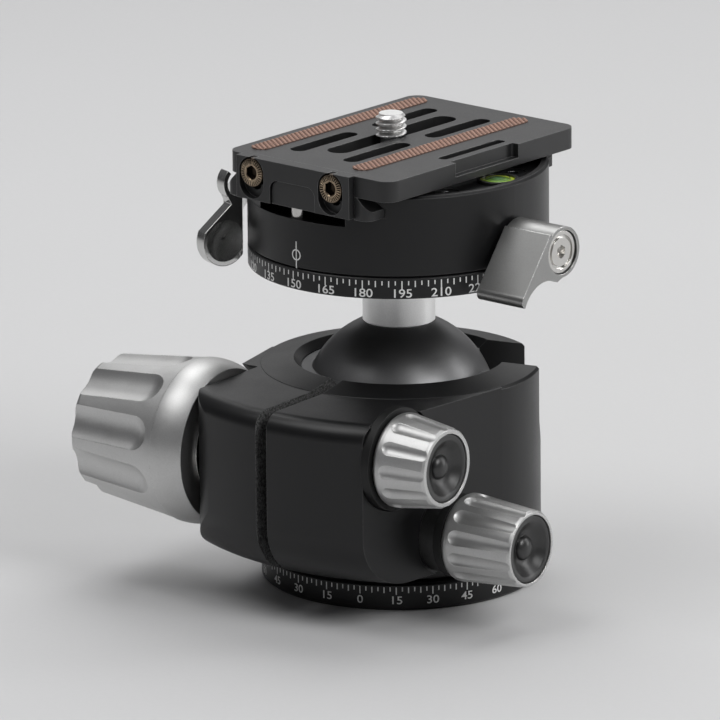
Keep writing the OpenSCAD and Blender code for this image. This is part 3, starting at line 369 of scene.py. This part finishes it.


# each finish's edge colour lightens its sharp edges: partly wear, partly a painted highlight
GREY = (0.30, 0.30, 0.30)
FINISHES = {
    "black": dict(colour=(0.0065, 0.0065, 0.007), metallic=0.0, rough=0.37, vary=0.25,
                  edge=(0.10, 0.10, 0.10), edge_rough=0.28, specular=0.40),
    "plate_black": dict(colour=(0.012, 0.012, 0.0125), metallic=0.0, rough=0.44, vary=0.25,
                        edge=(0.22, 0.22, 0.22), edge_rough=0.28, edge_radius=0.18, specular=0.62),
    "silver": dict(colour=(0.58, 0.58, 0.575), metallic=1.0, rough=0.46, vary=0.1, grain=0.28, bump=0.010,
                   edge=(0.8, 0.8, 0.79), edge_rough=0.2, edge_radius=0.22),
    # the stem's silver: a lighter copy of the knobs' silver, a painted highlight that makes the stem
    # brighter
    "neck": dict(colour=(0.85, 0.85, 0.845), metallic=1.0, rough=0.42, vary=0.08, grain=0.25, bump=0.006,
                 edge=(0.8, 0.8, 0.79), edge_rough=0.2, edge_radius=0.15),
    "pan_silver": dict(colour=(0.34, 0.34, 0.335), metallic=1.0, rough=0.36, vary=0.1, grain=0.28,
                       bump=0.006, edge=(0.8, 0.8, 0.79), edge_rough=0.2, edge_radius=0.22),
    "lever": dict(colour=(0.60, 0.60, 0.59), metallic=1.0, rough=0.2, vary=0.06, grain=0.5, bump=0.0006,
                  edge=(0.92, 0.92, 0.9), edge_rough=0.1, edge_radius=0.3),
    "collar": dict(colour=(0.10, 0.10, 0.10), metallic=1.0, rough=0.45, vary=0.2,
                   edge=GREY, edge_rough=0.3),
    "liner": dict(colour=(0.20, 0.20, 0.205), metallic=0.6, rough=0.45, vary=0.12,
                  edge=GREY, edge_rough=0.3),
    "ball": dict(colour=(0.23, 0.23, 0.233), metallic=0.9, rough=0.42, vary=0.12, grain=0.22, bump=0.003,
                 edge=GREY, edge_rough=0.2),
    "steel": dict(colour=(0.62, 0.61, 0.59), metallic=1.0, rough=0.2, vary=0.08, bump=0.002,
                  edge=(0.9, 0.9, 0.88), edge_rough=0.12, edge_radius=0.15),
    "dark_steel": dict(colour=(0.09, 0.09, 0.095), metallic=0.9, rough=0.32, vary=0.2, bump=0.002,
                       edge=(0.4, 0.4, 0.4), edge_rough=0.2, edge_radius=0.15),
    "bronze": dict(colour=(0.34, 0.26, 0.18), metallic=1.0, rough=0.24, vary=0.2, bump=0.001,
                   edge=(0.85, 0.74, 0.60), edge_rough=0.18, edge_radius=0.08, extra=serration_shade),
    "brass": dict(colour=(0.55, 0.40, 0.15), metallic=1.0, rough=0.3, vary=0.1, bump=0.002,
                  edge=(0.8, 0.65, 0.35), edge_rough=0.2, edge_radius=0.15),
    "cup": dict(colour=(0.5, 0.5, 0.48), metallic=0.0, rough=0.5, vary=0.06, bump=0.003),
    "rubber": dict(colour=(0.02, 0.02, 0.02), metallic=0.0, rough=0.75, vary=0.3, grain=0.4, bump=0.02,
                   specular=0.3),
    "brown_rubber": dict(colour=(0.36, 0.215, 0.165), metallic=0.0, rough=0.6, vary=0.14, grain=0.25,
                         mottle=5.0, bump=0.010, specular=0.35, extra=tread_shade),
    "black_plastic": dict(colour=(0.008, 0.008, 0.008), metallic=0.0, rough=0.5, vary=0.25, bump=0.004,
                          edge=(0.04, 0.04, 0.04), specular=0.35),
    "level_cup": dict(colour=(0.012, 0.012, 0.012), metallic=0.0, rough=0.3, vary=0.2, bump=0.002,
                      edge=(0.12, 0.12, 0.12), edge_rough=0.2, edge_radius=0.12),
    "vial": dict(colour=(0.4, 0.6, 0.05), metallic=0.0, rough=0.08, vary=0.05, bump=0.0005, coat=1.0,
                 extra=vial_tint),
    "bubble": dict(colour=(0.75, 0.9, 0.45), metallic=0.0, rough=0.06, vary=0.05, bump=0.0005, coat=1.0),
    "cap_black": dict(colour=(0.010, 0.010, 0.010), metallic=0.0, rough=0.36, vary=0.2, bump=0.002,
                      edge=(0.12, 0.12, 0.12), edge_rough=0.25, edge_radius=0.15, specular=0.75),
    "ink": dict(colour=(0.80, 0.80, 0.79), metallic=0.0, rough=0.55, vary=0.06, grain=0.1, bump=0.002),
    "polished": dict(colour=(0.86, 0.86, 0.85), metallic=1.0, rough=0.38, vary=0.05, bump=0.0005),
}
materials = {name: finish(name, **settings) for name, settings in FINISHES.items()}
materials["housing"] = finish("housing", **FINISHES["black"], extra=slit_grain)

OWN_FINISH = {"housing": "housing", "main_cap": "cap_black", "pan_lever": "pan_silver"}
for node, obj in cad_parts.items():
    for slot in obj.material_slots:
        slot.material = materials[OWN_FINISH.get(node, slot.material.name.split(".")[0])]


def place_piece(obj, body, slot, finish_name=None, stands_for=None):
    """Gives a piece its body and its material, named by the finish or else by the slot, and hides the CAD
    node it stands for.
    """
    obj.data.materials.append(materials[finish_name or slot])
    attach(obj, body)
    if stands_for:
        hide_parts(stands_for)


# ---------------------------------------------------------------- degree scales and the index mark

TICK_STEP = 2.5              # degrees
TICK_WIDTH = 0.24


def tick_part(width, length):
    return box_part((-width / 2, width / 2), (-length, 0), INK)


def dial(radius, zero, value_at, tick_top, lengths, text_z, text_height, weight):
    """Ticks every 2.5 degrees and numbers every 15, as one closed set of printed marks.

    lengths are those of the ticks at 15, 5 and 2.5 degrees.
    """
    parts = []
    for k in range(round(360 / TICK_STEP)):
        kind = 0 if k % 6 == 0 else 1 if k % 2 == 0 else 2
        angle = zero + TICK_STEP * k
        parts.append(bend(tick_part(TICK_WIDTH, lengths[kind]), radius, angle, tick_top))
        if kind == 0:
            number = text_part(str(value_at(k * TICK_STEP)), text_height, weight)
            parts.append(bend(number, radius, angle, text_z))
    return join_meshes(parts)


upper = dial(RING_R, zero=-243.5, value_at=lambda a: round(a) % 360, tick_top=70.47,
             lengths=(1.8, 1.3, 0.9), text_z=67.02, text_height=1.76, weight=0.008)
place_piece(mesh_object("upper_scale_marks", *upper), "stem", "black", "ink")
lower = dial(BASE_R, zero=-66.645, value_at=lambda a: round(min(a, 360 - a)), tick_top=5.0,
             lengths=(1.6, 1.25, 0.9), text_z=1.42, text_height=1.66, weight=0.007)
place_piece(mesh_object("lower_scale_marks", *lower), "base", "black", "ink")

# a line through a small circle
INDEX_ANGLE, INDEX_Z, INDEX_LENGTH = -91.8, 74.02, 5.6
index = join_meshes([
    bend(tick_part(0.26, INDEX_LENGTH), RING_R, INDEX_ANGLE, INDEX_Z + INDEX_LENGTH / 2),
    bend(annulus_part(0.92, 1.18, INK), RING_R, INDEX_ANGLE, INDEX_Z)])
place_piece(mesh_object("index_mark", *index), "clamp", "black", "ink")

# ---------------------------------------------------------------- camera screw with its thread

PITCH = 1.27
THREAD_R, ROOT_R = 3.175, 2.42
SCREW_LOW, HEAD_TOP, SCREW_TOP = 84.0, 87.9, 97.6
HEAD_R, KNURL_DEPTH, KNURLS = 6.7, 0.22, 48
SHANK_R = 2.2


def thread_row(z):
    """A row across the thread. Its crest is cut to a cone at the screw's end."""
    def row(angle):
        phase = (z / PITCH - angle / (2 * math.pi)) % 1.0
        crest = 1 - abs(2 * phase - 1)
        r = ROOT_R + (THREAD_R - ROOT_R) * min(1.0, max(0.0, crest * 1.45 - 0.2))
        return min(r, THREAD_R - 0.75 + max(0.0, SCREW_TOP - z)), z
    return row


def knurl_row(z):
    return lambda angle: (HEAD_R - KNURL_DEPTH * (0.5 + 0.5 * math.cos(KNURLS * angle)), z)


def camera_screw():
    """From the hexagon socket out round the knurled head, and up the shank to the thread."""
    rows = [hexagon_row(1.95, SCREW_LOW + 3.0), hexagon_row(2.0, SCREW_LOW + 0.25),
            circle_row(2.3, SCREW_LOW), circle_row(HEAD_R - 0.3, SCREW_LOW),
            circle_row(HEAD_R, SCREW_LOW + 0.3),
            knurl_row(SCREW_LOW + 0.7), knurl_row(HEAD_TOP - 0.7),
            circle_row(HEAD_R, HEAD_TOP - 0.3), circle_row(HEAD_R - 0.3, HEAD_TOP),
            circle_row(SHANK_R, HEAD_TOP), circle_row(SHANK_R, PLATE_TOP + 0.02)]
    steps = 76
    start = PLATE_TOP + 0.05
    for k in range(steps + 1):
        rows.append(thread_row(start + (SCREW_TOP - start) * k / steps))
    rows.append(circle_row(1.6, SCREW_TOP))
    place = Matrix.Translation((SLOT_X, 0, 0))
    return mesh_object("camera_screw_threaded", *lathe(rows, 192, place), smooth_angle=35)


place_piece(camera_screw(), "camera_screw", "steel", "polished", "camera_screw")

# ---------------------------------------------------------------- stem and scale ring, turned parts


def turned(name, profile, count, smooth_angle):
    """A closed profile of (r, z) points turned round the Z axis."""
    verts, faces = [], []
    for r, z in profile:
        for i in range(count):
            angle = 2 * math.pi * i / count
            verts.append((r * math.cos(angle), r * math.sin(angle), z))
    for k in range(len(profile)):
        a, b = k * count, (k + 1) % len(profile) * count
        for i in range(count):
            j = (i + 1) % count
            faces.append((a + i, a + j, b + j, b + i))
    return mesh_object(name, verts, faces, smooth_angle)


# the stem's foot comes down round the ball's neck root
stem = turned("stem_sleeve", [
    (ROOT_GAP_R, STEM_FOOT + 0.17), (STEM_R - 0.2, STEM_FOOT + 0.05), (STEM_R, STEM_FOOT + 0.25),
    (STEM_R, RING_Z), (6.9, RING_Z), (6.9, STEM_FOOT + 4.1), (ROOT_GAP_R, STEM_FOOT + 4.0)],
    count=128, smooth_angle=35)
place_piece(stem, "stem", "silver", "neck", "stem")

SKIRT_R = 26.0               # inside of the ring's skirt
ring = turned("scale_ring_turned", [
    (BOLT_R, RING_Z), (SPINDLE_R, RING_Z), (SPINDLE_R, RING_Z + 1), (SKIRT_R, RING_Z + 1),
    (SKIRT_R, RING_LOW), (RING_R - 0.22, RING_LOW), (RING_R, RING_LOW + 0.22), (RING_R, RING_TOP - 0.2),
    (RING_R - 0.2, RING_TOP), (SPINDLE_R, RING_TOP), (SPINDLE_R, SPINDLE_TOP), (BOLT_R, SPINDLE_TOP)],
    count=256, smooth_angle=30)
place_piece(ring, "stem", "black", None, "scale_ring")

# ---------------------------------------------------------------- dished caps of the small knobs

CAP_R, DISH_R, DOME_R = 6.95, 5.75, 2.6
CAP_LIP, DISH_DEPTH, DOME_HEIGHT = 0.12, 1.68, 1.55


def dished_cap(name, seat, y, z, length):
    """A cap with a flat rim, a round dish and a low dome in its middle.

    seat is where its knob begins, and length how far the knob and cap stand out from there.
    """
    top = length - 0.25
    rows = [circle_row(CAP_R, length - 2.58), circle_row(CAP_R, top - CAP_LIP),
            circle_row(CAP_R - CAP_LIP, top), circle_row(DISH_R + 0.1, top),
            circle_row(DISH_R - 0.05, top - CAP_LIP)]
    for k in range(1, 9):
        t = k / 8
        depth = CAP_LIP + DISH_DEPTH * math.sin(t * math.pi / 2) ** 1.2
        rows.append(circle_row(DISH_R + (DOME_R - DISH_R) * t, top - depth))
    floor = top - CAP_LIP - DISH_DEPTH
    for k in range(1, 9):
        angle = k / 9 * math.pi / 2
        rows.append(circle_row(DOME_R * math.cos(angle), floor + DOME_HEIGHT * math.sin(angle)))
    place = (Matrix.Rotation(BODY_TURN, 4, "Z") @ Matrix.Translation((seat, -y, z))
             @ Matrix.Rotation(math.pi / 2, 4, "Y"))
    return mesh_object(name, *lathe(rows, 96, place), smooth_angle=40)


friction_cap = dished_cap("friction_cap_dished", seat=25.1, y=35.0, z=36.45, length=12.0)
place_piece(friction_cap, "friction_knob", "black", "cap_black", "friction_cap")
pan_cap = dished_cap("pan_cap_dished", seat=31.2, y=20.7, z=17.7, length=16.5)
place_piece(pan_cap, "pan_knob", "black", "cap_black", "pan_cap")

# ---------------------------------------------------------------- stop bar screws with serrated heads

SERRATIONS = 30
BAR_HEAD_R, BAR_SHANK_R = 3.1, 1.5


def serrated_row(r, z, depth):
    def row(angle):
        return r, z + depth * max(0.0, math.cos(SERRATIONS * angle)) ** 1.5
    return row


def bar_screw(x):
    """From the hexagon socket out over the serrated face of the head, and in along the shank."""
    face = -0.1
    rows = [hexagon_row(1.2, 1.0), hexagon_row(1.25, face + 0.2), circle_row(1.55, face),
            circle_row(1.75, face), serrated_row(1.8, face + 0.01, 0.3),
            serrated_row(2.3, face + 0.05, 0.32), serrated_row(2.7, face + 0.12, 0.28),
            circle_row(2.76, face + 0.14), circle_row(2.95, face + 0.22),
            circle_row(BAR_HEAD_R, face + 0.5), circle_row(BAR_HEAD_R, 1.5),
            circle_row(BAR_SHANK_R, 1.55), circle_row(BAR_SHANK_R, 9.35)]
    place = Matrix.Translation((x, BAR_Y, BAR_SCREW_Z)) @ Matrix.Rotation(-math.pi / 2, 4, "X")
    return lathe(rows, 180, place)


both = join_meshes([bar_screw(x) for x in BAR_SCREW_X])
screws = mesh_object("bar_screws_serrated", *both, smooth_angle=32)
place_piece(screws, "plate", "bronze", None, "bar_screws")

# ---------------------------------------------------------------- rubber strips with their studded tread

TREAD_X, TREAD_Y = 1.72, 1.24    # the pattern's period across and along a strip


def strip_mesh(name, x_middle):
    """A strip with round ends, from inside the plate up to the tops of its studs."""
    across, along = 36, 480
    low, floor, top = PLATE_TOP - 0.6, PLATE_TOP + 0.02, PLATE_TOP + 0.35
    y0, y1 = STRIP_Y

    def half(y):
        d = min(y - y0, y1 - y)
        if d >= STRIP_HALF:
            return STRIP_HALF
        return math.sqrt(max(0.0, STRIP_HALF ** 2 - (STRIP_HALF - d) ** 2))

    def height(x, y):
        bump = math.cos(2 * math.pi * x / TREAD_X) * math.cos(2 * math.pi * (y - y0) / TREAD_Y)
        return floor + (top - floor) * min(1.0, max(0.0, 0.42 + bump))

    verts, faces = [], []
    for k in range(along + 1):
        y = y0 + (y1 - y0) * (k / along)
        w = max(half(y), 0.35)
        verts.append((x_middle - w, y, low))
        for i in range(across + 1):
            x = -w + 2 * w * i / across
            verts.append((x_middle + x, y, height(x, y)))
        verts.append((x_middle + w, y, low))
    width = across + 3
    for k in range(along):
        for i in range(width):
            j = (i + 1) % width
            faces.append((k * width + i, k * width + j, (k + 1) * width + j, (k + 1) * width + i))
    faces.append(tuple(range(width)))
    faces.append(tuple(range(along * width, (along + 1) * width)))
    return mesh_object(name, verts, faces, smooth_angle=25)


for node, x in STRIPS.items():
    place_piece(strip_mesh(node + "_tread", x), "plate", "brown_rubber", None, node)

# ---------------------------------------------------------------- rings on the bubble level

RING_THICK = (0.0, 0.03)
verts, faces = join_meshes([annulus_part(1.32, 1.44, RING_THICK), annulus_part(2.45, 2.62, RING_THICK)])
verts = [(x + BUBBLE[0], y + BUBBLE[1], z + BUBBLE_TOP) for x, y, z in verts]
place_piece(mesh_object("level_rings", verts, faces), "clamp", "level_cup")

# ---------------------------------------------------------------- floor, light and camera

FLOOR_HALF, FLOOR_DROP = 6.0, 0.00005    # metres


def stage_floor():
    """A plain pale floor with a faint cloudiness and fine flecks."""
    corners = [(x * FLOOR_HALF, y * FLOOR_HALF, 0) for x, y in ((-1, -1), (1, -1), (1, 1), (-1, 1))]
    mesh = bpy.data.meshes.new("floor")
    mesh.from_pydata(corners, [], [(0, 1, 2, 3)])
    floor = bpy.data.objects.new("floor", mesh)
    bpy.context.scene.collection.objects.link(floor)
    floor.location.z = min(0.0, cad_box[0][2]) - FLOOR_DROP
    g = Graph("floor")
    cloud = g.noise(420.0, 3.0)
    fleck = g.noise(1.2, 2.0)
    base = g.mix(g.remap(cloud, 0.0, 1.0), (0.60, 0.60, 0.60), (0.64, 0.64, 0.645))
    g.link(g.mix(g.remap(fleck, 0.0, 0.06), base, (0.5, 0.5, 0.5)), g.shader.inputs["Base Color"])
    g.link(g.remap(cloud, 0.75, 0.85), g.shader.inputs["Roughness"])
    g.shader.inputs["Specular IOR Level"].default_value = 0.2
    mesh.materials.append(g.material)


MIDDLE = Vector((0, 0, 0.05))


def area_light(name, across, toward, up, size, power):
    """A lamp that looks at the middle of the object. across and toward are as the camera sees them."""
    data = bpy.data.lights.new(name, "AREA")
    data.shape = "RECTANGLE"
    data.size, data.size_y = size
    data.energy = power
    lamp = bpy.data.objects.new(name, data)
    lamp.location = MIDDLE + side * across + back * toward + Vector((0, 0, up))
    lamp.rotation_euler = (MIDDLE - lamp.location).to_track_quat("-Z", "Y").to_euler()
    bpy.context.scene.collection.objects.link(lamp)


def surroundings():
    """Grey studio walls, darker below than above."""
    world = bpy.data.worlds.new("studio")
    bpy.context.scene.world = world
    world.use_nodes = True
    tree = world.node_tree
    background = tree.nodes["Background"]
    background.inputs["Strength"].default_value = 1.0
    coords = tree.nodes.new("ShaderNodeTexCoord")
    split = tree.nodes.new("ShaderNodeSeparateXYZ")
    tree.links.new(coords.outputs["Generated"], split.inputs["Vector"])
    ramp = tree.nodes.new("ShaderNodeValToRGB")
    ramp.color_ramp.elements[0].color = (0.07, 0.07, 0.0725, 1)
    ramp.color_ramp.elements[1].color = (0.17, 0.17, 0.175, 1)
    tree.links.new(split.outputs["Z"], ramp.inputs["Fac"])
    tree.links.new(ramp.outputs["Color"], background.inputs["Color"])


# the photograph's camera: degrees, metres and pixels
CAMERA_AZIMUTH, CAMERA_ELEVATION, CAMERA_ROLL = 40.3, 15.759, 0.4257
CAMERA_DISTANCE, CAMERA_TARGET = 2.04831, Vector((0, 0, 0.040))
FOCAL_PIXELS, CENTRE_X, CENTRE_Y, IMAGE = 9923.1, 399.51, 384.40, 720
SENSOR = 36.0


def camera():
    """Sets up the camera and gives the directions to its right and back to it."""
    azimuth, elevation, roll = (math.radians(a) for a in (CAMERA_AZIMUTH, CAMERA_ELEVATION, CAMERA_ROLL))
    back = Vector((math.sin(azimuth) * math.cos(elevation), -math.cos(azimuth) * math.cos(elevation),
                   math.sin(elevation)))
    right = Vector((math.cos(azimuth), math.sin(azimuth), 0))
    up = back.cross(right)
    x_axis = right * math.cos(roll) - up * math.sin(roll)
    y_axis = right * math.sin(roll) + up * math.cos(roll)
    data = bpy.data.cameras.new("camera")
    data.sensor_width = SENSOR
    data.lens = FOCAL_PIXELS * SENSOR / IMAGE
    data.shift_x = (IMAGE / 2 - CENTRE_X) / IMAGE
    data.shift_y = (CENTRE_Y - IMAGE / 2) / IMAGE
    data.clip_start, data.clip_end = 0.05, 50.0
    obj = bpy.data.objects.new("camera", data)
    place = CAMERA_TARGET + back * CAMERA_DISTANCE
    obj.matrix_world = Matrix((
        (x_axis.x, y_axis.x, back.x, place.x), (x_axis.y, y_axis.y, back.y, place.y),
        (x_axis.z, y_axis.z, back.z, place.z), (0, 0, 0, 1)))
    bpy.context.scene.collection.objects.link(obj)
    bpy.context.scene.camera = obj
    return right, back


stage_floor()
surroundings()
side, back = camera()
area_light("key", across=0.62, toward=0.62, up=0.50, size=(0.45, 0.5), power=4.8)
area_light("top", across=0.1, toward=-0.42, up=0.85, size=(0.9, 0.5), power=4.4)
area_light("rear", across=0.1, toward=-0.95, up=0.62, size=(0.9, 0.5), power=0.8)
area_light("above", across=-0.45, toward=0.15, up=0.80, size=(0.6, 0.5), power=2.8)
area_light("right", across=0.95, toward=-0.15, up=0.30, size=(0.2, 0.75), power=2.2)

bpy.context.scene.view_settings.view_transform = "Standard"
